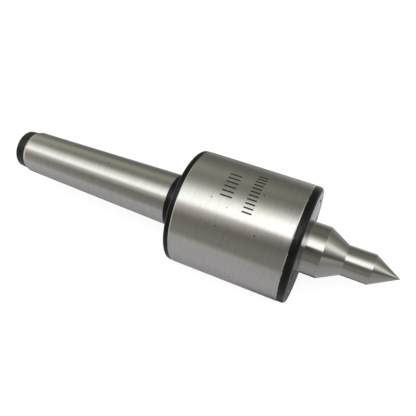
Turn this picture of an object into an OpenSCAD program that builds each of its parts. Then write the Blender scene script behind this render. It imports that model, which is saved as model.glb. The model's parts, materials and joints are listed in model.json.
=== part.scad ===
// Live centre with a Morse taper No. 2 shank, for a lathe tailstock.
// The axis is X and the point looks along +X. The origin is on the axis, in the gauge plane
// of the taper, which is where the ground taper ends and the black collar begins.
// Every length is in millimetres.

/* [Morse taper shank] */
// Diameter of the taper in its gauge plane
gauge_d = 17.78; // [17.58:0.1:17.98]
// Length over which the taper grows by 1 in diameter
taper_ratio = 20.02; // [19.52:0.1:20.52]
// Length from the gauge plane to the tail end
shank_len = 62; // [60:1:72]
// Length of the black tail behind the ground taper
tail_len = 3.8; // [3:0.1:6]
// Diameter of the black tail at its end
tail_end_d = 13.3; // [12.7:0.1:13.8]
// Diameter of the black tail next to the ground taper
tail_front_d = 14; // [13.8:0.1:14.2]
// Mouth diameter of the centre hole in the tail face
tail_centre_d = 6; // [4:0.5:8]

/* [Housing] */
// Length of the black collar between the gauge plane and the housing
collar_len = 5.3; // [5.2:0.1:6]
// Diameter of the black collar
collar_d = 17.9; // [17.7:0.1:18.2]
// Diameter of the ground housing
housing_d = 38.4; // [37:0.2:44]
// Length of the ground band
ground_len = 36; // [35.8:0.2:42]
// Length of the black rim behind the ground band
rear_rim_len = 2.1; // [2:0.1:3]
// Length of the black rim in front of the ground band
front_rim_len = 2.5; // [2.4:0.1:4]
// How far the black rims lie under the ground surface
rim_step = 0.1; // [0.05:0.05:0.2]

/* [Spindle] */
// Diameter of the neck
neck_d = 16.8; // [16:0.2:18]
// Length of the neck in front of the housing face
neck_len = 6; // [5.4:0.2:9]
// Length of the cone between the neck and the point shaft
cone_len = 6.5; // [5:0.5:9]
// Diameter of the point shaft
point_shaft_d = 9.8; // [8:0.2:12]
// Length of the point shaft
point_shaft_len = 8.3; // [6.3:0.2:14.7]
// Included angle of the point, in degrees
point_angle = 60; // [55:5:75]

/* [Bearings] */
// Balls in each of the two front bearings
ball_count = 11; // [8:1:11]
// Balls in the thrust bearing
thrust_ball_count = 11; // [8:1:12]
// Needles in the rear bearing
needle_count = 14; // [10:1:16]
// Diameter of the joint between the front cap and the housing
cap_d = 30; // [29.5:0.5:31]

/* [Hidden] */
$fn = 64;

GROUND = [0.66, 0.66, 0.64];
BLACK = [0.12, 0.12, 0.13];
BEARING = [0.75, 0.76, 0.78];
BRONZE = [0.70, 0.55, 0.30];
FELT = [0.45, 0.42, 0.36];

seat_gap = 0.01;            // between two pieces that sit tight on each other
run_gap = 0.05;             // between two pieces that turn past each other
edge = 0.3;                 // size of a small broken edge

// Shank
gauge_r = gauge_d / 2;
taper_x0 = -shank_len + tail_len + 1;
function taper_r(x) = gauge_r + x / (2 * taper_ratio);

// Housing, from the collar to its front face
housing_r = housing_d / 2;
rim_r = housing_r - rim_step;
housing_x0 = collar_len;
ground_x0 = housing_x0 + rear_rim_len;
ground_x1 = ground_x0 + ground_len;
face_x = ground_x1 + front_rim_len;
rear_round_len = 0.85;
rear_round_r = 1.6;
crown = 1.3;                // size of the front rim's rounded edge
cap_r = cap_d / 2;

// Front bearings, 15 x 28 x 7, back from the cap
cap_len = 6.05;
cap_fit = 0.02;             // between the cap's outside and the housing's mouth
seal_x = 1.4;               // from the cap's back to its seal groove
seal_len = 2.7;
seal_groove_r = 10.6;
spanner_pitch_r = 12.2;
spanner_hole_r = 1.2;
spanner_hole_depth = 2.5;
bore_r = 14;
shaft_r = 7.5;
bearing_w = 7;
pitch_r = 10.75;
ball_r = 1.75;
pocket_gap = 0.1;           // between a ball and its pocket in the cage
race_r = ball_r + run_gap;  // section radius of the grooves that the balls run in
cage_len = 4.8;
cage_r0 = 9.9;
cage_r1 = 11.6;
inner_shoulder_r = 9.35;
outer_shoulder_r = 12.15;
cap_x0 = face_x - cap_len;
front_bearing_x0 = cap_x0 - bearing_w;
second_bearing_x0 = front_bearing_x0 - bearing_w;
shield_t = 0.35;
shield_inset = 0.3;

// Disc spring and circlip behind the front bearings
spring_len = 0.6;
spring_x0 = second_bearing_x0 - spring_len;
circlip_t = 1.1;
circlip_x0 = second_bearing_x0 - circlip_t;
circlip_r0 = 7.05;
circlip_r1 = 9;
shoulder_x = circlip_x0 - 0.5;

// Thrust bearing, 12 x 26 x 9, behind the spacer
spacer_len = 3;
thrust_shaft_r = 6;
thrust_bore_r = 13;
thrust_len = 9;
thrust_washer_t = 2.75;
thrust_pitch_r = 9.5;
thrust_ball_r = 2;
thrust_race_r = thrust_ball_r + run_gap;
thrust_cage_t = 1.6;
thrust_cage_r0 = 7.4;
thrust_cage_r1 = 11.6;
thrust_x1 = shoulder_x - spacer_len;
thrust_x0 = thrust_x1 - thrust_len;
thrust_mid_x = thrust_x0 + thrust_len / 2;

// Needle bearing, 10 x 14 x 10, in the mouth of the shank
journal_r = 5;
needle_r = 0.73;
needle_pitch_r = 5.75;
needle_len = 7.6;
needle_cage_len = 8.6;
needle_cage_r0 = 5.45;
needle_cage_r1 = 6.05;
lip_r = journal_r + 0.15;
lip_t = 0.4;
cup_r = 7;
cup_wall = 0.5;
cup_len = 10;
cup_x0 = 1;
cup_mid_x = cup_x0 + cup_len / 2;

// Spindle in front of the housing
neck_r = neck_d / 2;
neck_x1 = face_x + neck_len;
cone_x1 = neck_x1 + cone_len;
point_shaft_r = point_shaft_d / 2;
point_x0 = cone_x1 + point_shaft_len;
tip_x = point_x0 + point_shaft_r / tan(point_angle / 2);
dust_ring_x0 = face_x + 0.1;
dust_ring_len = 0.65;
dust_ring_t = 0.3;
neck_groove = 0.15;         // depth of the fine groove beside the dust ring

// A body turned about the X axis from [radius, x] points.
module turned(points)
    rotate([0, 90, 0]) rotate_extrude() polygon(points);

// A plain ring about the X axis, from x0 on.
module ring(x0, length, r_in, r_out)
    turned([[r_in, x0], [r_out, x0], [r_out, x0 + length], [r_in, x0 + length]]);

// A ring with its outer edges broken by c_out and its inner edges by c_in.
module soft_ring(x0, length, r_in, r_out, c_in, c_out)
    turned([[r_in + c_in, x0], [r_out - c_out, x0], [r_out, x0 + c_out],
            [r_out, x0 + length - c_out], [r_out - c_out, x0 + length],
            [r_in + c_in, x0 + length], [r_in, x0 + length - c_in], [r_in, x0 + c_in]]);

// A solid bar about the X axis, from x0 on.
module bar(x0, length, r)
    translate([x0, 0, 0]) rotate([0, 90, 0]) cylinder(h = length, r = r);

// The round groove that a row of balls runs in.
module race(x, r, section_r)
    rotate([0, 90, 0]) translate([0, 0, x]) rotate_extrude() translate([r, 0]) circle(r = section_r);

// Copies of the children, evenly spaced around the X axis.
module around(count)
    for (i = [0 : count - 1]) rotate([i * 360 / count, 0, 0]) children();

// A row of balls on a circle of radius r.
module ball_row(count, x, r, ball)
    around(count) translate([x, 0, r]) sphere(r = ball);

// A quarter ellipse of [radius, x] points: it leaves radius r at x0, and ends "axial" along the
// axis and "radial" further in.
function rounded_edge(x0, r, axial, radial, steps) =
    [for (i = [0 : steps]) [r - radial * (1 - cos(90 * i / steps)), x0 + axial * sin(90 * i / steps)]];

function reversed(points) = [for (i = [len(points) - 1 : -1 : 0]) points[i]];

// 60 degree centre hole with its pilot, at x0 and running towards +X.
module centre_hole(x0, mouth_r) {
    pilot_r = mouth_r * 0.4;
    cone_depth = (mouth_r - pilot_r) / tan(30);
    translate([x0, 0, 0]) rotate([0, 90, 0]) cylinder(h = cone_depth, r1 = mouth_r, r2 = pilot_r);
    bar(x0, cone_depth + 2 * pilot_r, pilot_r);
}

// Shank and housing in one piece: black tail, ground taper, black collar and rims, ground band.
module housing_shank() color(GROUND) difference() {
    turned(concat(
        [[0, -shank_len], [tail_end_d / 2 - edge, -shank_len], [tail_end_d / 2, -shank_len + edge],
         [tail_front_d / 2, taper_x0 - 1], [taper_r(taper_x0), taper_x0], [gauge_r, 0],
         [collar_d / 2, edge], [collar_d / 2, housing_x0]],
        reversed(rounded_edge(housing_x0 + rear_round_len, rim_r, -rear_round_len, rear_round_r, 6)),
        [[rim_r, ground_x0], [housing_r, ground_x0 + edge], [housing_r, ground_x1 - edge],
         [rim_r, ground_x1]],
        rounded_edge(face_x - crown, rim_r, crown, crown, 8),
        [[cap_r + edge, face_x], [cap_r, face_x - edge], [0, face_x - edge]]));
    centre_hole(-shank_len, tail_centre_d / 2);
    bar(cap_x0 - seat_gap, cap_len + 1, cap_r);
    bar(spring_x0, cap_len + 3 * bearing_w, bore_r + seat_gap);
    bar(thrust_x0, thrust_len + bearing_w, thrust_bore_r + seat_gap);
    bar(cup_x0 - lip_t, thrust_x0, cup_r + seat_gap);
}

// Threaded ring that closes the housing: it clamps the outer rings and holds the felt seal.
module front_cap() color(BLACK) difference() {
    turned([[neck_r + run_gap, cap_x0], [cap_r - cap_fit - edge, cap_x0], [cap_r - cap_fit, cap_x0 + edge],
            [cap_r - cap_fit, face_x - edge], [cap_r - cap_fit - edge, face_x], [neck_r + run_gap, face_x]]);
    bar(cap_x0 - 1, 1.5, bore_r - 2.5);
    bar(cap_x0 + seal_x, seal_len, seal_groove_r);
    for (side = [-1, 1]) translate([0, side * spanner_pitch_r, 0])
        bar(face_x - spanner_hole_depth, spanner_hole_depth + 1, spanner_hole_r);
}

module felt_seal() color(FELT)
    ring(cap_x0 + seal_x + run_gap, seal_len - 2 * run_gap, neck_r + run_gap, seal_groove_r - seat_gap);

// Radial ball bearings
module outer_ring(x0) color(BEARING) difference() {
    soft_ring(x0, bearing_w, outer_shoulder_r, bore_r, 0.2, edge);
    race(x0 + bearing_w / 2, pitch_r, race_r);
}

module inner_ring(x0) color(BEARING) difference() {
    soft_ring(x0, bearing_w, shaft_r + seat_gap, inner_shoulder_r, edge, 0.2);
    race(x0 + bearing_w / 2, pitch_r, race_r);
}

module cage(x0) color(BRONZE) difference() {
    ring(x0 + (bearing_w - cage_len) / 2, cage_len, cage_r0, cage_r1);
    ball_row(ball_count, x0 + bearing_w / 2, pitch_r, ball_r + pocket_gap);
}

module shield(x0) color(BEARING)
    ring(x0, shield_t, inner_shoulder_r + 3 * run_gap, outer_shoulder_r - seat_gap);

module front_bearing_outer_ring() outer_ring(front_bearing_x0);
module front_bearing_inner_ring() inner_ring(front_bearing_x0);
module front_bearing_cage() cage(front_bearing_x0);
module front_bearing_balls() color(BEARING)
    ball_row(ball_count, front_bearing_x0 + bearing_w / 2, pitch_r, ball_r);
module front_bearing_shield() shield(cap_x0 - shield_inset - shield_t);

module second_bearing_outer_ring() outer_ring(second_bearing_x0);
module second_bearing_inner_ring() inner_ring(second_bearing_x0);
module second_bearing_cage() cage(second_bearing_x0);
module second_bearing_balls() color(BEARING)
    ball_row(ball_count, second_bearing_x0 + bearing_w / 2, pitch_r, ball_r);
module second_bearing_shield() shield(second_bearing_x0 + shield_inset);

// Cone-shaped spring between the housing's shoulder and the second outer ring.
module preload_disc_spring() color(BEARING)
    turned([[bore_r - 1.6, spring_x0 + spring_len / 2], [bore_r - 0.1, spring_x0 + seat_gap],
            [bore_r - 0.1, spring_x0 + spring_len / 2], [bore_r - 1.6, spring_x0 + spring_len - seat_gap]]);

// Thrust ball bearing
module thrust_housing_washer() color(BEARING) difference() {
    soft_ring(thrust_x0, thrust_washer_t, thrust_shaft_r + 0.5, thrust_bore_r, 0.2, edge);
    race(thrust_mid_x, thrust_pitch_r, thrust_race_r);
}

module thrust_shaft_washer() color(BEARING) difference() {
    soft_ring(thrust_x1 - thrust_washer_t, thrust_washer_t, thrust_shaft_r + seat_gap,
              thrust_bore_r - 0.4, edge, 0.2);
    race(thrust_mid_x, thrust_pitch_r, thrust_race_r);
}

module thrust_bearing_cage() color(BRONZE) difference() {
    ring(thrust_mid_x - thrust_cage_t / 2, thrust_cage_t, thrust_cage_r0, thrust_cage_r1);
    ball_row(thrust_ball_count, thrust_mid_x, thrust_pitch_r, thrust_ball_r + pocket_gap);
}

module thrust_bearing_balls() color(BEARING)
    ball_row(thrust_ball_count, thrust_mid_x, thrust_pitch_r, thrust_ball_r);

module thrust_spacer() color(GROUND)
    soft_ring(thrust_x1, spacer_len, thrust_shaft_r + seat_gap, shaft_r + 1, 0.2, 0.2);

// Drawn-cup needle bearing
module needle_bearing_cup() color(BEARING)
    turned([[lip_r, cup_x0], [cup_r, cup_x0], [cup_r, cup_x0 + cup_len], [lip_r, cup_x0 + cup_len],
            [lip_r, cup_x0 + cup_len - lip_t], [cup_r - cup_wall, cup_x0 + cup_len - lip_t],
            [cup_r - cup_wall, cup_x0 + lip_t], [lip_r, cup_x0 + lip_t]]);

module needle_bearing_cage() color(BRONZE) difference() {
    ring(cup_mid_x - needle_cage_len / 2, needle_cage_len, needle_cage_r0, needle_cage_r1);
    around(needle_count) translate([0, 0, needle_pitch_r])
        bar(cup_mid_x - needle_len / 2 - run_gap, needle_len + 2 * run_gap, needle_r + run_gap);
}

module needle_rollers() color(BEARING)
    around(needle_count) translate([0, 0, needle_pitch_r]) bar(cup_mid_x - needle_len / 2, needle_len, needle_r);

// Hardened spindle, from its journal in the needle bearing to the point.
module spindle() color(GROUND) difference() {
    turned([[0, cup_x0 + 0.5], [journal_r - edge, cup_x0 + 0.5], [journal_r, cup_x0 + 0.5 + edge],
            [journal_r, thrust_x0 - 0.6], [thrust_shaft_r, thrust_x0 - 0.6],
            [thrust_shaft_r, shoulder_x], [shaft_r, shoulder_x], [shaft_r, circlip_x0 - seat_gap],
            [circlip_r0 - seat_gap, circlip_x0 - seat_gap], [circlip_r0 - seat_gap, second_bearing_x0],
            [shaft_r, second_bearing_x0], [shaft_r, cap_x0], [neck_r, cap_x0],
            [neck_r, dust_ring_x0 + dust_ring_len], [neck_r - neck_groove, dust_ring_x0 + dust_ring_len],
            [neck_r - neck_groove, dust_ring_x0 + dust_ring_len + edge],
            [neck_r, dust_ring_x0 + dust_ring_len + edge], [neck_r, neck_x1 - 0.1], [neck_r - 0.1, neck_x1],
            [point_shaft_r, cone_x1], [point_shaft_r, point_x0], [0, tip_x]]);
    centre_hole(cup_x0 + 0.5, 1.5);
}

// Thin ring pressed on the neck in front of the cap, which throws chips and coolant off.
module neck_dust_ring() color(GROUND)
    soft_ring(dust_ring_x0, dust_ring_len, neck_r + seat_gap, neck_r + dust_ring_t, 0, 0.1);

// Open snap ring with two eyes, in the spindle's groove behind the second bearing.
module shaft_circlip() color(BLACK) difference() {
    union() {
        ring(circlip_x0, circlip_t - seat_gap, circlip_r0, circlip_r1);
        for (side = [-1, 1]) translate([0, side * 2.6, circlip_r1 - 0.1])
            bar(circlip_x0, circlip_t - seat_gap, 1.3);
    }
    translate([circlip_x0 - 1, -1.1, 0]) cube([circlip_t + 2, 2.2, 2 * circlip_r1]);
    bar(circlip_x0 - 1, circlip_t + 2, circlip_r0);
    for (side = [-1, 1]) translate([0, side * 2.6, circlip_r1 - 0.1])
        bar(circlip_x0 - 1, circlip_t + 2, 0.6);
}

housing_shank();
front_cap();
felt_seal();
front_bearing_outer_ring();
front_bearing_shield();
second_bearing_outer_ring();
second_bearing_shield();
preload_disc_spring();
thrust_housing_washer();
needle_bearing_cup();
spindle();
neck_dust_ring();
front_bearing_inner_ring();
second_bearing_inner_ring();
shaft_circlip();
thrust_spacer();
thrust_shaft_washer();
front_bearing_cage();
front_bearing_balls();
second_bearing_cage();
second_bearing_balls();
thrust_bearing_cage();
thrust_bearing_balls();
needle_bearing_cage();
needle_rollers();
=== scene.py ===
"""Looks of a live centre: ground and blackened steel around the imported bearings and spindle."""

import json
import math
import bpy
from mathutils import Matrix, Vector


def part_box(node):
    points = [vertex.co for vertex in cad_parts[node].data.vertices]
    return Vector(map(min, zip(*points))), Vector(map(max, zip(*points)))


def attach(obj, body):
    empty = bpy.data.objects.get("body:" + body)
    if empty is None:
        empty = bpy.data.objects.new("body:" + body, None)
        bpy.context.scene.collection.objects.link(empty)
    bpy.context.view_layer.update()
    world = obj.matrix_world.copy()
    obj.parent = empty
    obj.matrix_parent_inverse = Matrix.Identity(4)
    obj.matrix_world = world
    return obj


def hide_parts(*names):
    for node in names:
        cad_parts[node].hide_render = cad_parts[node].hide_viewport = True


bl_info = {
    "name": "Live centre",
    "version": (1, 0, 0),
    "blender": (4, 5, 0),
    "location": "3D View > Sidebar > Live centre",
    "description": "Builds a revolving lathe centre with a Morse taper shank, and its studio",
    "category": "Add Mesh",
}

import bpy
import numpy as np
from bpy.props import FloatProperty, FloatVectorProperty, IntProperty, PointerProperty
from bpy.types import Operator, Panel, PropertyGroup
from mathutils import Vector

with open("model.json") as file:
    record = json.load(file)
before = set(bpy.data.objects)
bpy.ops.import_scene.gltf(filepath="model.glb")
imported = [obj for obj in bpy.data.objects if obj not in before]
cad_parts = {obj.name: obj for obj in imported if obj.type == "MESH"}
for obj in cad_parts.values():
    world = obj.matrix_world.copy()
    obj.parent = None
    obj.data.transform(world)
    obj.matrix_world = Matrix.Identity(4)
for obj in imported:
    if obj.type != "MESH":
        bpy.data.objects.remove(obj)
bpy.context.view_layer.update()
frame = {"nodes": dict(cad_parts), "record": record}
MM = 0.001

# Low and high corners, in metres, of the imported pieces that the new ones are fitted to
BODY_LOW, BODY_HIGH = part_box("housing_shank")
CAP_LOW, CAP_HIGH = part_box("front_cap")
SPINDLE_LOW, SPINDLE_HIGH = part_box("spindle")
RING_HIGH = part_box("neck_dust_ring")[1]
BEARING_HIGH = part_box("front_bearing_outer_ring")[1]
SPRING_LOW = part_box("preload_disc_spring")[0]
THRUST_LOW, THRUST_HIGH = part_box("thrust_housing_washer")
CUP_LOW, CUP_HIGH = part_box("needle_bearing_cup")
SPACER_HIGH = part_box("thrust_spacer")[1]
CIRCLIP_LOW, CIRCLIP_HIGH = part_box("shaft_circlip")

SEAT = 0.01 * MM                        # gap between two pieces that sit tight on each other
ON_AXIS = 1e-5 * MM                     # a radius below this counts as on the axis
HALF_POINT = math.radians(30)           # half of the 60 degrees of a centre point and its hole
CORNER_STEPS = 6                        # straight pieces in a rounded corner
REAR_ROUND_POINTS = 11                  # points along the rear rim's rounded edge
NOISE_LOW, NOISE_HIGH = 0.3, 0.7        # most of a noise texture's values lie between these
FINE_RELIEF = 0.02 * MM                 # height of a noise's bumps at full strength


def size(name, description, millimetres):
    """A length for a property group, given in millimetres and kept in metres."""
    return FloatProperty(name=name, description=description, default=millimetres * MM, min=0.0,
                         max=0.3, unit="LENGTH", precision=5)


def angle(name, description, degrees):
    """An angle for a property group, given in degrees and kept in radians."""
    return FloatProperty(name=name, description=description, default=math.radians(degrees),
                         unit="ROTATION")


def linear(code):
    """Linear RGBA from an sRGB hex code such as "c4c2bc"."""
    channels = [int(code[i:i + 2], 16) / 255 for i in (0, 2, 4)]
    return tuple(c / 12.92 if c <= 0.04045 else ((c + 0.055) / 1.055) ** 2.4 for c in channels) + (1.0,)


def colour(name, description, code):
    """A colour, from its sRGB hex code, for a property group."""
    return FloatVectorProperty(name=name, description=description, default=linear(code),
                               size=4, min=0.0, max=1.0, subtype="COLOR")


class LiveCentreShank(PropertyGroup):
    """Sizes of the shank"""

    gauge_r: size("Gauge radius", "Radius of the Morse taper in its gauge plane", 8.89)
    taper_ratio: FloatProperty(name="Taper ratio", default=20.02, min=10.0, max=40.0,
                               description="Length over which the taper's diameter grows by 1")
    tail_len: size("Black tail", "Length of the black tail", 3.8)
    tail_end_r: size("Tail end radius", "Radius of the tail at its end", 6.65)
    tail_front_r: size("Tail front radius", "Radius of the tail next to the ground taper", 7.0)
    lead: size("Taper lead", "Length of the bright chamfer that leads onto the taper", 1.0)
    hole_r: size("Centre hole radius", "Mouth radius of the centre hole in the tail", 3.0)
    pilot_r: size("Pilot radius", "Radius of the drilled end of the centre hole", 1.2)
    collar_r: size("Collar radius", "Radius of the black collar", 8.95)
    collar_len: size("Collar length", "Length of the black collar", 5.3)


class LiveCentreHousing(PropertyGroup):
    """Sizes of the housing"""

    rear_rim: size("Rear rim", "Length of the black rim behind the ground band", 2.1)
    front_rim: size("Front rim", "Length of the black rim in front of the ground band", 2.5)
    rim_step: size("Rim step", "How far the black rims lie under the ground band", 0.1)
    rear_round_len: size("Rear round length", "Axial size of the rear rim's rounded edge", 0.85)
    rear_round_r: size("Rear round depth", "Radial size of the rear rim's rounded edge", 1.6)
    front_round: size("Front round", "Radius of the front rim's rounded edge", 1.3)
    edge: size("Edge", "Size of a broken edge", 0.3)
    soft: size("Soft corner", "Radius that softens the corners of a broken edge", 0.1)
    crisp: size("Crisp corner", "Radius of the corners that stay sharp", 0.03)
    cup_room: size("Cup room", "Depth of the bore behind the needle bearing's cup", 0.4)
    segments: IntProperty(name="Segments", description="Faces around the housing", default=320, min=32)


class LiveCentreSpindle(PropertyGroup):
    """Sizes of the spindle"""

    neck_len: size("Neck length", "Length of the neck in front of the housing", 6.0)
    cone_len: size("Cone length", "Length of the cone in front of the neck", 6.5)
    shaft_r: size("Point shaft radius", "Radius of the point shaft", 4.9)
    shaft_len: size("Point shaft length", "Length of the point shaft", 8.3)
    tip_r: size("Tip radius", "Radius of the tiny rounded end of the point", 0.035)
    groove: size("Neck groove", "Depth of the fine groove beside the dust ring", 0.03)
    groove_len: size("Neck groove length", "Length of the fine groove beside the dust ring", 0.12)
    journal_r: size("Journal radius", "Radius of the journal in the needle bearing", 5.0)
    thrust_r: size("Thrust seat radius", "Radius of the seat in the thrust bearing", 6.0)
    bearing_r: size("Bearing seat radius", "Radius of the seat in the two front bearings", 7.5)
    circlip_r: size("Circlip groove radius", "Radius at the bottom of the circlip's groove", 7.04)
    journal_gap: size("Journal gap", "Length of the journal in front of the thrust bearing's seat", 0.6)
    segments: IntProperty(name="Segments", description="Faces around the spindle", default=256, min=32)


class LiveCentreMarks(PropertyGroup):
    """Two rows of plain bars etched round the ground band"""

    first_x: size("First row", "Start of the first row along the axis", 19.2)
    first_len: size("First row height", "Length of the first row's bars along the axis", 3.8)
    first_from: angle("First row, from", "First bar's angle above level in front", 95.0)
    first_to: angle("First row, to", "Last bar's angle above level in front", 70.5)
    first_bars: IntProperty(name="First row, bars", description="Bars in the first row", default=6, min=2)
    second_x: size("Second row", "Start of the second row along the axis", 27.2)
    second_len: size("Second row height", "Length of the second row's bars along the axis", 3.0)
    second_from: angle("Second row, from", "First bar's angle above level in front", 104.0)
    second_to: angle("Second row, to", "Last bar's angle above level in front", 62.0)
    second_bars: IntProperty(name="Second row, bars", description="Bars in the second row", default=11,
                             min=2)
    bar: size("Bar width", "Width of a bar round the housing", 0.5)
    lift: size("Etch relief", "How far an etched bar stands off the ground surface", 0.012)


class LiveCentreFinish(PropertyGroup):
    """Colours of the finishes"""

    ground: colour("Ground steel", "Tone of the ground steel", "c9c8c6")
    ground_streak: colour("Ground steel, streaks", "Tone of the ground steel's faint streaks", "c1c0be")
    polished: colour("Polished tool steel", "Tone of the hardened spindle", "b5b4b2")
    black: colour("Black oxide", "Tone of the blackened steel", "131314")
    etch: colour("Etched mark", "Tone of the etched bars", "26231f")


def corner_arc(before, corner, after, radius):
    """Points of a circular arc of the given radius that rounds a corner of an [x, radius] outline.

    The arc touches both straight sides, and one more point on each side, a little before it
    and a little after it, keeps the straight sides' shading straight.
    """
    most_of_side, support_share, flat_corner = 0.45, 0.1, math.radians(89.5)
    a, b, c = (np.array(p, float) for p in (before, corner, after))
    u = (a - b) / np.linalg.norm(a - b)
    v = (c - b) / np.linalg.norm(c - b)
    half = math.acos(float(np.clip(u @ v, -1, 1))) / 2
    if half > flat_corner:
        return [b]
    reach = min(radius / math.tan(half), most_of_side * np.linalg.norm(a - b),
                most_of_side * np.linalg.norm(c - b))
    true_radius = reach * math.tan(half)
    centre = b + (u + v) / np.linalg.norm(u + v) * true_radius / math.sin(half)
    start, end = b + u * reach - centre, b + v * reach - centre
    turn = math.atan2(start[0] * end[1] - start[1] * end[0], start @ end)
    angles = turn * np.linspace(0, 1, CORNER_STEPS + 1)
    cos, sin = np.cos(angles), np.sin(angles)
    arc = centre + np.stack([start[0] * cos - start[1] * sin, start[0] * sin + start[1] * cos], 1)
    support = support_share * reach
    return [b + u * (reach + support), *arc, b + v * (reach + support)]


def rounded(corners):
    """An [x, radius] outline from (x, radius, rounding) corners. A rounding of 0 stays sharp."""
    points = []
    for i, (x, r, rounding) in enumerate(corners):
        if rounding and 0 < i < len(corners) - 1:
            points += corner_arc(corners[i - 1][:2], (x, r), corners[i + 1][:2], rounding)
        else:
            points.append(np.array((x, r), float))
    return np.array(points)


def turned(name, outline, segments):
    """A body turned about the X axis.

    The surface is (x, r cos t, r sin t), with (x, r) running along the outline and t going once
    round. An outline that starts and ends on the axis is closed there by a pole, and any other
    is closed into a ring.
    """
    x, r = np.asarray(outline, float).T
    ring = r[0] > ON_AXIS
    t = np.linspace(0, 2 * math.pi, segments, endpoint=False)
    rows_x, rows_r = (x, r) if ring else (x[1:-1], r[1:-1])
    points = np.stack([np.repeat(rows_x[:, None], segments, 1),
                       rows_r[:, None] * np.cos(t), rows_r[:, None] * np.sin(t)], -1).reshape(-1, 3)
    count = len(rows_x)
    i = np.arange(count if ring else count - 1)[:, None]
    j = np.arange(segments)[None, :]
    here, after = i * segments, (i + 1) % count * segments
    turn = (j + 1) % segments
    faces = np.stack([here + j, here + turn, after + turn, after + j], -1).reshape(-1, 4).tolist()
    if not ring:
        poles = np.array([[x[0], 0, 0], [x[-1], 0, 0]])
        low, high = len(points), len(points) + 1
        points = np.concatenate([points, poles])
        last = (count - 1) * segments
        j, turn = j[0], turn[0]
        faces += np.stack([np.full(segments, low), turn, j], -1).tolist()
        faces += np.stack([last + j, last + turn, np.full(segments, high)], -1).tolist()
    return new_piece(name, points, faces)


def new_piece(name, points, faces):
    """A smooth-shaded mesh object at the origin, from points in metres and faces."""
    mesh = bpy.data.meshes.new(name)
    mesh.from_pydata(points.tolist(), [], faces)
    mesh.validate()
    mesh.polygons.foreach_set("use_smooth", np.ones(len(mesh.polygons), bool))
    mesh.update()
    piece = bpy.data.objects.new(name, mesh)
    bpy.context.scene.collection.objects.link(piece)
    return piece


def face_centres(piece):
    """The middle of each face, as the columns x, y and z."""
    centres = np.zeros(len(piece.data.polygons) * 3)
    piece.data.polygons.foreach_get("center", centres)
    return centres.reshape(-1, 3).T


def stand_for(piece, node, body):
    """The piece takes a CAD node's place on its body."""
    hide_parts(node)
    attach(piece, body)


def add_node(tree, kind, settings=None, inputs=None, stops=()):
    """One node with its settings; an input is a value, or a (node, output) pair to link from.

    Stops are the (position, colour) pairs of a node that has a colour ramp.
    """
    node = tree.nodes.new(kind)
    for key, value in (settings or {}).items():
        setattr(node, key, value)
    for key, value in (inputs or {}).items():
        if isinstance(value, tuple) and len(value) == 2 and isinstance(value[0], bpy.types.Node):
            tree.links.new(value[0].outputs[value[1]], node.inputs[key])
        else:
            node.inputs[key].default_value = value
    for i, (position, tone) in enumerate(stops):
        elements = node.color_ramp.elements
        element = elements[i] if i < len(elements) else elements.new(position)
        element.position, element.color = position, tone
    return node


def new_material(name):
    """An empty node material, its tree and its output node."""
    material = bpy.data.materials.new(name)
    material.use_nodes = True
    material.node_tree.nodes.clear()
    return material, material.node_tree, add_node(material.node_tree, "ShaderNodeOutputMaterial")


def darker(tone, share):
    """A colour at a share of its brightness."""
    return tuple(c * share for c in tuple(tone)[:3]) + (1.0,)


def spaced(along, across):
    """Mapping scale of a pattern with these spacings, in metres, along the X axis and across it."""
    return (1 / along, 1 / across, 1 / across)


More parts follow.
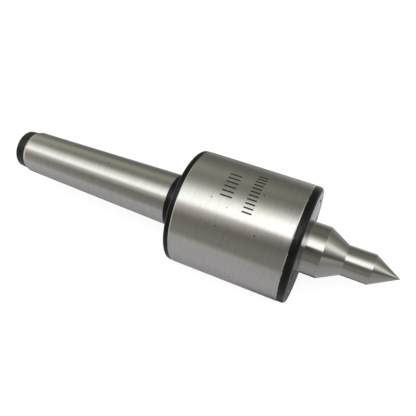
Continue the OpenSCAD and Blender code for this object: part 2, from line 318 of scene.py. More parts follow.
def ground_steel(name, tone, streak, pit, rough, anisotropy, line_gap, relief):
    """Steel ground on centres, with fine lines that run round the X axis.

    Noise is squeezed along the axis to line_gap and drawn out round it, which gives the lines.
    They spread a highlight along the axis and leave it sharp round it. Wider, fainter streaks
    vary the tone, and a few pits in the pit tone, up to half a millimetre across, break it.
    """
    line_length, streak_width, streak_length, pit_spacing = 20 * MM, 0.625 * MM, 6.25 * MM, 4.6 * MM
    pit_floor, pit_rim = 0.035, 0.055       # radii of a pit, as shares of the spacing
    quarter_turn = 0.25                     # lays the long way of a highlight along the axis
    material, tree, out = new_material(name)
    place = add_node(tree, "ShaderNodeTexCoord")
    fine = add_node(tree, "ShaderNodeMapping", {}, {"Vector": (place, "Object"),
                                                    "Scale": spaced(line_gap, line_length)})
    lines = add_node(tree, "ShaderNodeTexNoise", {"noise_dimensions": "3D"},
                     {"Vector": (fine, "Vector"), "Scale": 1.0, "Detail": 4.0, "Roughness": 0.65})
    wide = add_node(tree, "ShaderNodeMapping", {}, {"Vector": (place, "Object"),
                                                    "Scale": spaced(streak_width, streak_length)})
    streaks = add_node(tree, "ShaderNodeTexNoise", {"noise_dimensions": "3D"},
                       {"Vector": (wide, "Vector"), "Scale": 1.0, "Detail": 3.0, "Roughness": 0.6})
    streaked = add_node(tree, "ShaderNodeValToRGB", {}, {"Fac": (streaks, "Fac")},
                        [(NOISE_LOW, tuple(streak)), (NOISE_HIGH, tuple(tone))])
    cells = add_node(tree, "ShaderNodeTexVoronoi", {"voronoi_dimensions": "3D", "feature": "F1"},
                     {"Vector": (place, "Object"), "Scale": 1 / pit_spacing})
    pits = add_node(tree, "ShaderNodeMapRange", {},
                    {"Value": (cells, "Distance"), "From Min": pit_floor, "From Max": pit_rim,
                     "To Min": 1.0, "To Max": 0.0})
    pitted = add_node(tree, "ShaderNodeMixRGB", {}, {"Fac": (pits, "Result"),
                                                     "Color1": (streaked, "Color"),
                                                     "Color2": tuple(pit)})
    roughness = add_node(tree, "ShaderNodeMapRange", {},
                         {"Value": (lines, "Fac"), "From Min": NOISE_LOW, "From Max": NOISE_HIGH,
                          "To Min": rough[0], "To Max": rough[1]})
    height = add_node(tree, "ShaderNodeBump", {}, {"Height": (lines, "Fac"), "Strength": relief,
                                                   "Distance": FINE_RELIEF})
    tangent = add_node(tree, "ShaderNodeTangent", {"direction_type": "RADIAL", "axis": "X"})
    shader = add_node(tree, "ShaderNodeBsdfPrincipled", {},
                      {"Base Color": (pitted, "Color"), "Metallic": 1.0,
                       "Roughness": (roughness, "Result"), "Anisotropic": anisotropy,
                       "Anisotropic Rotation": quarter_turn, "Normal": (height, "Normal"),
                       "Tangent": (tangent, "Tangent")})
    tree.links.new(shader.outputs["BSDF"], out.inputs["Surface"])
    return material


def black_oxide(name, tone, bare, rough, relief, worn_x):
    """Hot black oxide over turned steel, oiled.

    It is nearly black from the front, and mirrors what is behind it at a low angle. Close to
    worn_x along the axis, where the front rim meets the ground band, handling has rubbed the
    oxide through to bare steel in small patches.
    """
    turning_gap, turning_length = 0.2 * MM, MM / 0.3    # wider than the lathe's feed, to show
    blotch_size, rub_width, rub_length = 2.5 * MM, 0.4 * MM, MM / 0.7
    wear_reach = 0.7 * MM                               # how far wear goes on each side of worn_x
    wear_start, wear_full = 0.50, 0.56                  # rubbing at which it starts and is through
    thin_oxide = 0.6                                    # tone of the darkest blotches, as a share
    oxide_ior = 1.3                                     # low, so that it is nearly black from the front
    material, tree, out = new_material(name)
    place = add_node(tree, "ShaderNodeTexCoord")
    turning = add_node(tree, "ShaderNodeMapping", {}, {"Vector": (place, "Object"),
                                                       "Scale": spaced(turning_gap, turning_length)})
    lines = add_node(tree, "ShaderNodeTexNoise", {"noise_dimensions": "3D"},
                     {"Vector": (turning, "Vector"), "Scale": 1.0, "Detail": 3.0})
    blotch = add_node(tree, "ShaderNodeTexNoise", {"noise_dimensions": "3D"},
                      {"Vector": (place, "Object"), "Scale": 1 / blotch_size, "Detail": 4.0})
    oxide = add_node(tree, "ShaderNodeValToRGB", {}, {"Fac": (blotch, "Fac")},
                     [(NOISE_LOW, darker(tone, thin_oxide)), (NOISE_HIGH, tuple(tone))])
    along = add_node(tree, "ShaderNodeSeparateXYZ", {}, {"Vector": (place, "Object")})
    off = add_node(tree, "ShaderNodeMath", {"operation": "SUBTRACT"}, {0: (along, "X"), 1: worn_x})
    away = add_node(tree, "ShaderNodeMath", {"operation": "ABSOLUTE"}, {0: (off, 0)})
    near = add_node(tree, "ShaderNodeMapRange", {},
                    {"Value": (away, 0), "From Min": 0.0, "From Max": wear_reach,
                     "To Min": 1.0, "To Max": 0.0})
    rubbing = add_node(tree, "ShaderNodeMapping", {}, {"Vector": (place, "Object"),
                                                       "Scale": spaced(rub_width, rub_length)})
    patches = add_node(tree, "ShaderNodeTexNoise", {"noise_dimensions": "3D"},
                       {"Vector": (rubbing, "Vector"), "Scale": 1.0, "Detail": 3.0, "Roughness": 0.6})
    reach = add_node(tree, "ShaderNodeMath", {"operation": "MULTIPLY"}, {0: (near, 0), 1: (patches, 0)})
    worn = add_node(tree, "ShaderNodeMapRange", {},
                    {"Value": (reach, 0), "From Min": wear_start, "From Max": wear_full,
                     "To Min": 0.0, "To Max": 1.0})
    base = add_node(tree, "ShaderNodeMixRGB", {}, {"Fac": (worn, "Result"), "Color1": (oxide, "Color"),
                                                   "Color2": tuple(bare)})
    roughness = add_node(tree, "ShaderNodeMapRange", {},
                         {"Value": (blotch, "Fac"), "From Min": NOISE_LOW, "From Max": NOISE_HIGH,
                          "To Min": rough[0], "To Max": rough[1]})
    height = add_node(tree, "ShaderNodeBump", {}, {"Height": (lines, "Fac"), "Strength": relief,
                                                   "Distance": FINE_RELIEF})
    shader = add_node(tree, "ShaderNodeBsdfPrincipled", {},
                      {"Base Color": (base, "Color"), "Metallic": (worn, "Result"), "IOR": oxide_ior,
                       "Roughness": (roughness, "Result"), "Normal": (height, "Normal")})
    tree.links.new(shader.outputs["BSDF"], out.inputs["Surface"])
    return material


def mottled(name, tone, metallic, rough, grain):
    """A finish with a mottled grain of the given size, for small pieces and etched marks."""
    dark_grain, smoothest, roughest = 0.8, 0.8, 1.2     # shares of the tone and the roughness
    material, tree, out = new_material(name)
    place = add_node(tree, "ShaderNodeTexCoord")
    noise = add_node(tree, "ShaderNodeTexNoise", {"noise_dimensions": "3D"},
                     {"Vector": (place, "Object"), "Scale": 1 / grain, "Detail": 3.0})
    base = add_node(tree, "ShaderNodeValToRGB", {}, {"Fac": (noise, "Fac")},
                    [(NOISE_LOW, darker(tone, dark_grain)), (NOISE_HIGH, tuple(tone))])
    roughness = add_node(tree, "ShaderNodeMapRange", {},
                         {"Value": (noise, "Fac"), "To Min": rough * smoothest,
                          "To Max": rough * roughest})
    shader = add_node(tree, "ShaderNodeBsdfPrincipled", {},
                      {"Base Color": (base, "Color"), "Metallic": metallic,
                       "Roughness": (roughness, "Result")})
    tree.links.new(shader.outputs["BSDF"], out.inputs["Surface"])
    return material


class LIVECENTRE_OT_housing(Operator):
    """Build the shank and housing, in one piece"""

    bl_idname = "livecentre.housing"
    bl_label = "Shank and housing"

    def execute(self, context):
        s, h, f = (context.scene.lc_shank, context.scene.lc_housing, context.scene.lc_finish)
        tail_x, face_x, band_r = BODY_LOW.x, BODY_HIGH.x, BODY_HIGH.z
        rim_r = band_r - h.rim_step
        band_x0, band_x1 = s.collar_len + h.rear_rim, face_x - h.front_rim
        lead_x = tail_x + s.tail_len
        taper_x = lead_x + s.lead
        taper_r = s.gauge_r + taper_x / (2 * s.taper_ratio)
        cone_end_x = tail_x + (s.hole_r - s.pilot_r) / math.tan(HALF_POINT)
        pilot_x = cone_end_x + 2 * s.pilot_r
        cap_r = CAP_HIGH.z + 2 * SEAT
        bearing_r, thrust_r, cup_r = BEARING_HIGH.z + SEAT, THRUST_HIGH.z + SEAT, CUP_HIGH.z + SEAT
        cup_x = CUP_LOW.x - h.cup_room
        # The rear rim's edge is a quarter of an ellipse, from the rear face round to the rim
        t = np.linspace(math.pi / 2, 0, REAR_ROUND_POINTS)
        rear_round = zip(s.collar_len + h.rear_round_len * (1 - np.sin(t)),
                         rim_r - h.rear_round_r * (1 - np.cos(t)), np.zeros(REAR_ROUND_POINTS))
        # The outline's corners, as (x, radius, rounding): the centre hole in the tail, the shank,
        # the outside of the housing, and back along the bores that the bearings sit in
        corners = [(pilot_x, 0, 0), (pilot_x, s.pilot_r, 0), (cone_end_x, s.pilot_r, 0),
                   (tail_x, s.hole_r, h.soft), (tail_x, s.tail_end_r - h.edge, 2 * h.soft),
                   (tail_x + h.edge, s.tail_end_r, 2 * h.soft), (lead_x, s.tail_front_r, h.soft),
                   (taper_x, taper_r, h.soft), (0, s.gauge_r, h.crisp), (h.edge, s.collar_r, h.crisp),
                   (s.collar_len, s.collar_r, h.edge), *rear_round,
                   (band_x0, rim_r, h.crisp), (band_x0 + h.edge, band_r, h.soft),
                   (band_x1 - h.edge, band_r, h.soft), (band_x1, rim_r, h.crisp),
                   (face_x, rim_r, h.front_round), (face_x, cap_r + h.edge, h.soft),
                   (face_x - h.edge, cap_r, h.crisp), (CAP_LOW.x, cap_r, 0), (CAP_LOW.x, bearing_r, 0),
                   (SPRING_LOW.x, bearing_r, 0), (SPRING_LOW.x, thrust_r, 0), (THRUST_LOW.x, thrust_r, 0),
                   (THRUST_LOW.x, cup_r, 0), (cup_x, cup_r, 0), (cup_x, 0, 0)]
        piece = turned("housing_shank_ground", rounded(corners), h.segments)
        # Tool steel, cylindrically ground. The lines are a few hundredths of a millimetre apart on
        # the real surface and drawn 0.16 mm apart to show: soft broad bands of light along the
        # axis, with clear edges round it.
        ground = ground_steel("ground_steel", f.ground, f.ground_streak, f.etch, rough=(0.16, 0.20),
                              anisotropy=0.75, line_gap=0.16 * MM, relief=0.05)
        # The same steel as turned, in hot black oxide: dark, slightly uneven, and dull beside the
        # ground surfaces.
        black = black_oxide("black_oxide_steel", f.black, f.ground, rough=(0.10, 0.15), relief=0.02,
                            worn_x=band_x1)
        piece.data.materials.append(ground)
        piece.data.materials.append(black)
        x, y, z = face_centres(piece)
        bright = ((x > lead_x) & (x < 0)) | ((x > band_x0) & (x < band_x1))
        bore = (x > band_x0) & (x < CAP_LOW.x) & (np.hypot(y, z) < bearing_r + SEAT)
        hole = (x < pilot_x + SEAT) & (np.hypot(y, z) < s.hole_r)
        piece.data.polygons.foreach_set("material_index", np.where((bright & ~hole) | bore, 0, 1))
        stand_for(piece, "housing_shank", "housing")
        return {"FINISHED"}


class LIVECENTRE_OT_cap(Operator):
    """Finish the threaded front cap"""

    bl_idname = "livecentre.cap"
    bl_label = "Front cap"

    def execute(self, context):
        f = context.scene.lc_finish
        # Faced and lapped steel in black oxide: smoother than the rims, so that its face mirrors
        # the neck at a low angle. Nothing rubs it, so the worn place lies far off, at the tail.
        finish = black_oxide("black_oxide_face", f.black, f.ground, rough=(0.03, 0.05), relief=0.0,
                             worn_x=BODY_LOW.x)
        cap = frame["nodes"]["front_cap"].data
        cap.materials.clear()
        cap.materials.append(finish)
        return {"FINISHED"}


class LIVECENTRE_OT_spindle(Operator):
    """Build the spindle with its neck, cone, point shaft and 60 degree point, and its dust ring"""

    bl_idname = "livecentre.spindle"
    bl_label = "Spindle"

    def execute(self, context):
        h, s, f = (context.scene.lc_housing, context.scene.lc_spindle, context.scene.lc_finish)
        back_x, tip_x, neck_r = SPINDLE_LOW.x, SPINDLE_HIGH.x, SPINDLE_HIGH.z
        neck_x = BODY_HIGH.x + s.neck_len
        cone_x = neck_x + s.cone_len
        point_x = cone_x + s.shaft_len
        groove_x0 = RING_HIGH.x
        groove_x1 = groove_x0 + s.groove_len
        thrust_x = THRUST_LOW.x - s.journal_gap
        groove_r = neck_r - s.groove
        # The outline's corners, as (x, radius, rounding): the journal and the seats inside, the
        # circlip's groove, the neck with its fine groove, the cone, the point shaft and the point
        corners = [(back_x, 0, 0), (back_x, s.journal_r - h.edge, 0), (back_x + h.edge, s.journal_r, 0),
                   (thrust_x, s.journal_r, 0), (thrust_x, s.thrust_r, 0),
                   (SPACER_HIGH.x, s.thrust_r, 0), (SPACER_HIGH.x, s.bearing_r, 0),
                   (CIRCLIP_LOW.x - SEAT, s.bearing_r, 0), (CIRCLIP_LOW.x - SEAT, s.circlip_r, 0),
                   (CIRCLIP_HIGH.x, s.circlip_r, 0), (CIRCLIP_HIGH.x, s.bearing_r, 0),
                   (CAP_LOW.x, s.bearing_r, 0), (CAP_LOW.x, neck_r, h.soft),
                   (groove_x0, neck_r, h.crisp), (groove_x0 + h.crisp, groove_r, h.crisp),
                   (groove_x1 - h.crisp, groove_r, h.crisp), (groove_x1, neck_r, h.crisp),
                   (neck_x, neck_r, h.edge), (cone_x, s.shaft_r, h.edge), (point_x, s.shaft_r, h.soft),
                   (tip_x - s.tip_r / math.tan(HALF_POINT), s.tip_r, 0), (tip_x, 0, 0)]
        piece = turned("spindle_point", rounded(corners), s.segments)
        # Hardened tool steel, ground and then polished where the seal runs: an almost clear mirror
        # round the neck.
        polished = ground_steel("polished_tool_steel", f.polished, f.polished, f.polished,
                                rough=(0.04, 0.06), anisotropy=0.5, line_gap=0.2 * MM, relief=0.02)
        # The same steel left as ground on the cone, point shaft and point: the edges of its
        # highlights are softer than on the neck. Its lines are drawn 0.2 mm apart to show.
        point = ground_steel("fine_ground_tool_steel", f.polished, f.polished, f.polished,
                             rough=(0.14, 0.18), anisotropy=0.7, line_gap=0.2 * MM, relief=0.04)
        piece.data.materials.append(polished)
        piece.data.materials.append(point)
        piece.data.polygons.foreach_set("material_index", np.where(face_centres(piece)[0] > neck_x, 1, 0))
        stand_for(piece, "spindle", "spindle")
        ring_x0, ring_x1, ring_r = CAP_HIGH.x + 2 * SEAT, RING_HIGH.x, RING_HIGH.z
        middle_x, seat_r = (ring_x0 + ring_x1) / 2, neck_r + SEAT
        ring = turned("neck_ring", rounded([(middle_x, seat_r, 0), (ring_x0, seat_r, h.crisp),
                                            (ring_x0, ring_r, h.crisp), (ring_x1, ring_r, h.crisp),
                                            (ring_x1, seat_r, h.crisp)]), s.segments)
        ring.data.materials.append(polished)
        stand_for(ring, "neck_dust_ring", "spindle")
        return {"FINISHED"}


def bar_patch(x0, x1, middle, width, radius, lift):
    """One bar as a thin curved slab on the cylinder.

    Its top is (x, (radius + lift) cos t, (radius + lift) sin t) for x from x0 to x1 and t over
    the bar's width round the middle angle, and its bottom is the same grid just under the surface.
    """
    rows, columns = 2, 5
    half = width / radius / 2
    x, t = np.meshgrid(np.linspace(x0, x1, rows), np.linspace(middle - half, middle + half, columns),
                       indexing="ij")
    layers = [np.stack([x, r * np.cos(t), r * np.sin(t)], -1).reshape(-1, 3)
              for r in (radius + lift, radius - lift)]
    points = np.concatenate(layers)
    i, j = np.meshgrid(np.arange(rows - 1), np.arange(columns - 1), indexing="ij")
    a = (i * columns + j).ravel()
    top = np.stack([a, a + 1, a + columns + 1, a + columns], -1)
    layer = rows * columns
    rim = np.concatenate([np.arange(columns), np.arange(columns - 1, layer, columns)[1:],
                          np.arange(layer - 2, layer - columns - 1, -1),
                          np.arange(layer - 2 * columns, 0, -columns)])
    after = np.roll(rim, -1)
    sides = np.stack([after, rim, rim + layer, after + layer], -1)
    return points, np.concatenate([top, top[:, ::-1] + layer, sides])


class LIVECENTRE_OT_marks(Operator):
    """Etch two rows of plain bars round the ground band"""

    bl_idname = "livecentre.marks"
    bl_label = "Etched bars"

    def execute(self, context):
        m, f = context.scene.lc_marks, context.scene.lc_finish
        points, faces, count = [], [], 0
        rows = [(m.first_x, m.first_len, m.first_from, m.first_to, m.first_bars),
                (m.second_x, m.second_len, m.second_from, m.second_to, m.second_bars)]
        for x0, length, start, end, bars in rows:
            for above_front in np.linspace(start, end, bars):
                bar_points, bar_faces = bar_patch(x0, x0 + length, math.pi - above_front, m.bar,
                                                  BODY_HIGH.z, m.lift)
                points.append(bar_points)
                faces.append(bar_faces + count)
                count += len(bar_points)
        piece = new_piece("etched_bars", np.concatenate(points), np.concatenate(faces).tolist())
        piece.data.polygons.foreach_set("use_smooth", np.zeros(len(piece.data.polygons), bool))
        # Steel darkened by a marking laser: a matt brown-black that shines less than the ground
        # steel around it.
        piece.data.materials.append(mottled("laser_etched_steel", f.etch, metallic=0.3, rough=0.55,
                                            grain=0.2 * MM))
        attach(piece, "housing")
        return {"FINISHED"}


class LIVECENTRE_OT_bearings(Operator):
    """Finish the bearings, seal, springs and spacer inside the housing"""

    bl_idname = "livecentre.bearings"
    bl_label = "Pieces inside"

    def execute(self, context):
        finishes = {
            # Through-hardened bearing steel, ground and lapped: bright, nearly a mirror
            "bearing_steel": mottled("lapped_bearing_steel", linear("c8cacc"), metallic=1.0, rough=0.15,
                                     grain=0.8 * MM),
            # Spring steel, phosphated and oiled: dark grey with a soft sheen
            "spring_steel": mottled("phosphated_spring_steel", linear("3a3b3d"), metallic=0.8, rough=0.45,
                                    grain=0.3 * MM),
            # Mild steel straight from the lathe: grey, with a dull metal shine
            "plain_steel": mottled("turned_mild_steel", linear("aaa9a6"), metallic=1.0, rough=0.35,
                                   grain=0.5 * MM),
            # Brass strip, stamped and tumbled: warm yellow, with its highlights smeared
            "brass_cage": mottled("stamped_brass", linear("c9a456"), metallic=1.0, rough=0.3,
                                  grain=0.6 * MM),
            # Pressed wool felt soaked in oil: matt, dark and fibrous
            "oiled_felt": mottled("oiled_wool_felt", linear("5c5343"), metallic=0.0, rough=0.9,
                                  grain=0.15 * MM),
        }
        for part in frame["record"]["subparts"]:
            node, slot = part["node"], part["material_slot"]
            if slot in finishes:
                data = frame["nodes"][node].data
                data.materials.clear()
                data.materials.append(finishes[slot])
        return {"FINISHED"}


# The view that the shank mirrors. It holds over a stretch of the room, so STUDIO has it twice.
SHANK_VIEW = [(-90, 0.40), (-65, 0.46), (-30, 0.53), (-21, 0.54), (-11, 0.40), (0, 0.31), (20, 0.25),
              (27, 0.26), (33, 0.40), (40, 0.58), (45, 0.68), (50, 1.05), (56, 1.58), (63, 1.60),
              (70, 1.38), (76, 1.12), (85, 0.84), (92, 0.55), (100, 0.33), (112, 0.26), (125, 0.38),
              (137, 0.46), (150, 0.38), (160, 0.26), (178, 0.205), (188, 0.22), (200, 0.34),
              (215, 0.43), (235, 0.33), (250, 0.32)]
# The studio, as the metal sees it: brightness by angle round the object's axis, where 0 is level
# in front, 90 is straight up, 180 is level behind and -90 or 270 straight down. Each row is one
# view across the room, from the tail's end, at -1, to the point's end, at 1.
STUDIO = [
    (-0.80, [(-90, 0.60), (-60, 0.90), (-20, 0.90), (10, 0.70), (35, 1.0), (60, 1.6), (85, 1.3),
             (110, 0.9), (140, 0.7), (180, 0.5), (220, 0.5), (250, 0.5)]),
    (-0.62, SHANK_VIEW),
    (-0.50, SHANK_VIEW),
    (-0.20, [(-90, 0.38), (-75, 0.46), (-55, 0.55), (-30, 0.54), (-15, 0.55), (-6, 0.28), (15, 0.26),
             (32, 0.22), (39, 0.39), (48, 0.68), (53, 0.90), (57, 1.70), (63, 1.95), (75, 1.75),
             (83, 1.40), (91, 0.92), (99, 0.55), (109, 0.34), (122, 0.275), (139, 0.335),
             (150, 0.26), (168, 0.19), (183, 0.17), (190, 0.25), (203, 0.29), (222, 0.16),
             (250, 0.36)]),
    (-0.06, [(-90, 0.20), (-78, 0.42), (-55, 0.49), (-40, 0.50), (-25, 0.46), (-13, 0.42),
             (-8, 0.26), (14, 0.26), (24, 0.20), (37, 0.13), (45, 0.08), (53, 0.09), (56, 0.9),
             (59, 2.0), (68, 2.2), (79, 2.1), (87, 1.50), (94, 1.08), (101, 0.62), (108, 0.40),
             (118, 0.22), (136, 0.24), (150, 0.22), (166, 0.18), (172, 0.18), (184, 0.33),
             (196, 0.46), (208, 0.58), (218, 0.66), (226, 0.74), (229.5, 0.60), (234, 0.14)]),
    (0.05, [(-90, 0.27), (-84, 0.46), (-55, 0.51), (-25, 0.48), (-15, 0.42), (-9, 0.29), (8, 0.31),
            (18, 0.25), (26, 0.22), (36, 0.24), (43, 0.24), (47, 0.50), (51, 1.4), (56, 2.1),
            (64, 2.3), (74, 2.2), (82, 1.8), (89, 1.08), (96, 0.62), (103, 0.38), (113, 0.23),
            (130, 0.26), (145, 0.24), (158, 0.19), (166, 0.20), (178, 0.36), (190, 0.62),
            (205, 0.76), (226, 0.74), (229.5, 0.60), (234, 0.14)]),
    (0.30, [(-90, 0.56), (-70, 0.56), (-45, 0.56), (-28, 0.50), (-15, 0.40), (-4, 0.36), (10, 0.42),
            (22, 0.40), (30, 0.24), (40, 0.17), (48, 0.30), (54, 0.75), (62, 1.1), (72, 1.35),
            (84, 1.40), (94, 1.20), (104, 0.85), (114, 0.60), (125, 0.44), (140, 0.36), (155, 0.25),
            (172, 0.26), (183, 0.34), (195, 0.36), (212, 0.31), (228, 0.36), (236, 0.42),
            (246, 0.60)]),
    (0.80, [(-90, 0.40), (-60, 0.46), (-45, 0.49), (-28, 0.44), (-15, 0.36), (-2, 0.42), (8, 0.54),
            (22, 0.54), (27, 0.24), (40, 0.13), (48, 0.165), (60, 0.27), (70, 0.57), (80, 0.93),
            (92, 1.50), (106, 1.42), (115, 1.02), (125, 0.60), (140, 0.42), (155, 0.29), (172, 0.30),
            (183, 0.50), (195, 0.68), (215, 0.64), (240, 0.55)]),
    (0.92, [(-90, 0.40), (-60, 0.42), (-45, 0.45), (-28, 0.38), (-15, 0.33), (-2, 0.36), (8, 0.28),
            (18, 0.20), (28, 0.15), (38, 0.16), (48, 0.27), (59, 0.43), (68, 0.62), (78, 0.88),
            (89, 1.25), (98, 1.22), (106, 1.15), (114, 0.95), (125, 0.58), (140, 0.42), (155, 0.27),
            (172, 0.26), (183, 0.50), (195, 0.68), (215, 0.64), (240, 0.55)]),
]
# A slight colour over the same angles: cool over the floor, warm up the walls
STUDIO_TINT = [(-90, (1, 0.96, 1)), (-30, (1, 0.98, 0.99)), (-15, (1, 0.985, 0.91)),
               (0, (1, 0.975, 0.87)), (25, (1, 0.95, 0.84)), (45, (1, 0.93, 0.87)),
               (54, (1, 0.97, 0.93)), (60, (1, 1, 0.98)), (90, (1, 1, 0.93)), (110, (1, 1, 0.86)),
               (140, (1, 0.99, 0.81)), (172, (1, 1, 0.84)), (190, (1, 0.96, 0.91)),
               (205, (1, 0.97, 0.97)), (226, (1, 0.97, 1.0))]
STUDIO_PEAK = 2.5                       # the tone that fills a colour ramp's whole range
RAMP_START = -90                        # the angle, in degrees, at which a ramp starts

# The sweep, in metres: radius of its flat floor, radius of its bend, height of its wall's top,
# and the inner ring that keeps the floor's faces from being long and thin
FLOOR_R, BEND_R, WALL_TOP, INNER_R = 1.1, 0.4, 1.4, 0.7
FLOOR_GAP = 0.05 * MM                   # between the floor and the bottom of the housing
SWEEP_SEGMENTS, BEND_POINTS = 96, 13
PAPER_TONE, PAPER_GLOW = 0.12, 0.9

# The light bank: its sides and place in metres, and its power in watts
BANK_WIDTH, BANK_HEIGHT, BANK_POWER = 0.7, 0.5, 6.0
BANK_PLACE = Vector((0.1, -0.45, 0.8))

# The camera: lens and sensor width in millimetres, nearest and farthest view in metres, its
# place, and the angles from the object back to it, round from the front and up
LENS, SENSOR, NEAR, FAR = 41.17, 36.0, 0.005, 20.0
CAMERA_PLACE = Vector((55.915, -93.614, 119.889)) * MM
AZIMUTH, ELEVATION = math.radians(24.932), math.radians(48.812)


def on_ramp(degrees):
    """The place on a colour ramp of an angle round the axis."""
    return (degrees - RAMP_START) / 360


def studio_world():
    """Soft studio: a bright bank overhead in front, a dim room round it, and a pale floor below.

    The angle round the X axis picks the tone in each row, and the way along X blends the rows.
    """
    world = bpy.data.worlds.new("soft_studio")
    world.use_nodes = True
    tree = world.node_tree
    tree.nodes.clear()
    out = add_node(tree, "ShaderNodeOutputWorld")
    way = add_node(tree, "ShaderNodeTexCoord")
    parts = add_node(tree, "ShaderNodeSeparateXYZ", {}, {"Vector": (way, "Generated")})
    front = add_node(tree, "ShaderNodeMath", {"operation": "MULTIPLY"}, {0: (parts, "Y"), 1: -1.0})
    around = add_node(tree, "ShaderNodeMath", {"operation": "ARCTAN2"},
                      {0: (parts, "Z"), 1: (front, 0)})
    turns = add_node(tree, "ShaderNodeMath", {"operation": "MULTIPLY_ADD"},
                     {0: (around, 0), 1: 1 / (2 * math.pi), 2: 1 + on_ramp(0)})
    place = add_node(tree, "ShaderNodeMath", {"operation": "FRACT"}, {0: (turns, 0)})
    views = []
    for across, row in STUDIO:
        stops = [(on_ramp(degrees), (tone / STUDIO_PEAK,) * 3 + (1.0,)) for degrees, tone in row]
        views.append((across, add_node(tree, "ShaderNodeValToRGB", {}, {"Fac": (place, 0)}, stops)))
    whole = views[0][1]
    for (before, _), (after, tones) in zip(views, views[1:]):
        share = add_node(tree, "ShaderNodeMapRange", {},
                         {"Value": (parts, "X"), "From Min": before, "From Max": after})
        whole = add_node(tree, "ShaderNodeMixRGB", {}, {"Fac": (share, "Result"),
                                                        "Color1": (whole, "Color"),
                                                        "Color2": (tones, "Color")})
    tint = add_node(tree, "ShaderNodeValToRGB", {}, {"Fac": (place, 0)},
                    [(on_ramp(degrees), tone + (1.0,)) for degrees, tone in STUDIO_TINT])
    tinted = add_node(tree, "ShaderNodeMixRGB", {"blend_type": "MULTIPLY"},
                      {"Fac": 1.0, "Color1": (whole, "Color"), "Color2": (tint, "Color")})
    light = add_node(tree, "ShaderNodeBackground", {}, {"Color": (tinted, "Color"),
                                                        "Strength": STUDIO_PEAK})
    tree.links.new(light.outputs["Background"], out.inputs["Surface"])
    bpy.context.scene.world = world


def studio_floor():
    """Pale paper sweep: a disc that curves up into a wall.

    Its profile is flat, then a quarter circle, then straight up, and the surface is that profile
    turned about the vertical.
    """
    segments = SWEEP_SEGMENTS
    floor_z = BODY_LOW.z - FLOOR_GAP
    bend = np.linspace(0, math.pi / 2, BEND_POINTS)
    r = np.concatenate([[INNER_R], FLOOR_R + BEND_R * np.sin(bend), [FLOOR_R + BEND_R]])
    z = np.concatenate([[0.0], BEND_R * (1 - np.cos(bend)), [WALL_TOP]]) + floor_z
    t = np.linspace(0, 2 * math.pi, segments, endpoint=False)
    points = np.stack([r[:, None] * np.cos(t), r[:, None] * np.sin(t),
                       np.repeat(z[:, None], segments, 1)], -1).reshape(-1, 3)
    points = np.concatenate([points, [[0, 0, floor_z]]])
    i, j = np.arange(len(r) - 1)[:, None] * segments, np.arange(segments)[None, :]
    turn = (j + 1) % segments
    faces = np.stack([i + j, i + segments + j, i + segments + turn, i + turn], -1).reshape(-1, 4).tolist()
    faces += np.stack([np.full(segments, len(points) - 1), j[0], turn[0]], -1).tolist()
    sweep = new_piece("studio_sweep", points, faces)
    sweep.visible_glossy = False
    sweep.visible_shadow = False
    sweep.visible_diffuse = False
    # Matt white paper lit from behind as well, so that it stays an even, pale white
    material, tree, out = new_material("white_paper_sweep")
    paper = add_node(tree, "ShaderNodeBsdfDiffuse", {}, {"Color": (PAPER_TONE,) * 3 + (1.0,)})
    glow = add_node(tree, "ShaderNodeEmission", {}, {"Color": (1, 1, 1, 1), "Strength": PAPER_GLOW})
    both = add_node(tree, "ShaderNodeAddShader", {}, {0: (paper, 0), 1: (glow, 0)})
    tree.links.new(both.outputs[0], out.inputs["Surface"])
    sweep.data.materials.append(material)


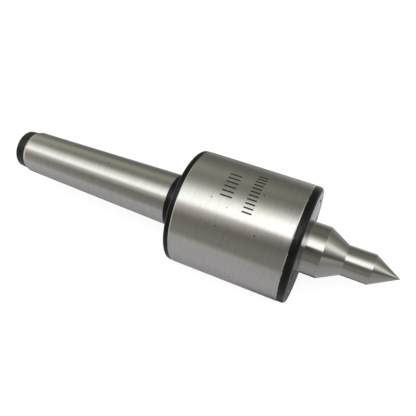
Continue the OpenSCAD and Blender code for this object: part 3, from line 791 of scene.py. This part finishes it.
class LIVECENTRE_OT_stage(Operator):
    """Build the pale floor, the soft light and the camera"""

    bl_idname = "livecentre.stage"
    bl_label = "Studio"

    def execute(self, context):
        scene = context.scene
        studio_world()
        studio_floor()
        bank = bpy.data.lights.new("soft_bank", "AREA")
        bank.shape = "RECTANGLE"
        bank.size, bank.size_y, bank.energy = BANK_WIDTH, BANK_HEIGHT, BANK_POWER
        bank_object = bpy.data.objects.new("soft_bank", bank)
        bank_object.location = BANK_PLACE
        bank_object.rotation_mode = "QUATERNION"
        bank_object.rotation_quaternion = (-bank_object.location).to_track_quat("-Z", "Y")
        bank_object.visible_glossy = False
        scene.collection.objects.link(bank_object)

        camera = bpy.data.cameras.new("camera")
        camera.sensor_width, camera.lens = SENSOR, LENS
        camera.clip_start, camera.clip_end = NEAR, FAR
        camera_object = bpy.data.objects.new("camera", camera)
        back = Vector((math.sin(AZIMUTH) * math.cos(ELEVATION),
                       -math.cos(AZIMUTH) * math.cos(ELEVATION), math.sin(ELEVATION)))
        camera_object.location = CAMERA_PLACE
        camera_object.rotation_mode = "QUATERNION"
        camera_object.rotation_quaternion = (-back).to_track_quat("-Z", "Y")
        scene.collection.objects.link(camera_object)
        scene.camera = camera_object
        scene.view_settings.view_transform = "Standard"
        return {"FINISHED"}


class LIVECENTRE_PT_panel(Panel):
    """Steps of the live centre, in order"""

    bl_label = "Live centre"
    bl_idname = "LIVECENTRE_PT_panel"
    bl_space_type = "VIEW_3D"
    bl_region_type = "UI"
    bl_category = "Live centre"

    def draw(self, context):
        for step in STEPS:
            self.layout.operator(step.bl_idname)
        for group in GROUPS:
            box = self.layout.box()
            box.label(text=group)
            values = getattr(context.scene, group)
            for key in values.__annotations__:
                box.prop(values, key)


STEPS = [LIVECENTRE_OT_housing, LIVECENTRE_OT_cap, LIVECENTRE_OT_spindle, LIVECENTRE_OT_marks,
         LIVECENTRE_OT_bearings, LIVECENTRE_OT_stage]
GROUPS = {"lc_shank": LiveCentreShank, "lc_housing": LiveCentreHousing, "lc_spindle": LiveCentreSpindle,
          "lc_marks": LiveCentreMarks, "lc_finish": LiveCentreFinish}


def register():
    """Registers the classes and the scene's settings."""
    for cls in [*GROUPS.values(), *STEPS, LIVECENTRE_PT_panel]:
        bpy.utils.register_class(cls)
    for name, group in GROUPS.items():
        setattr(bpy.types.Scene, name, PointerProperty(type=group))


def unregister():
    """Removes what register() added."""
    for name in GROUPS:
        delattr(bpy.types.Scene, name)
    for cls in reversed([*GROUPS.values(), *STEPS, LIVECENTRE_PT_panel]):
        bpy.utils.unregister_class(cls)


def main():
    """Builds every piece in order."""
    register()
    for step in STEPS:
        group, name = step.bl_idname.split(".")
        getattr(getattr(bpy.ops, group), name)()


if __name__ == "__main__":
    main()
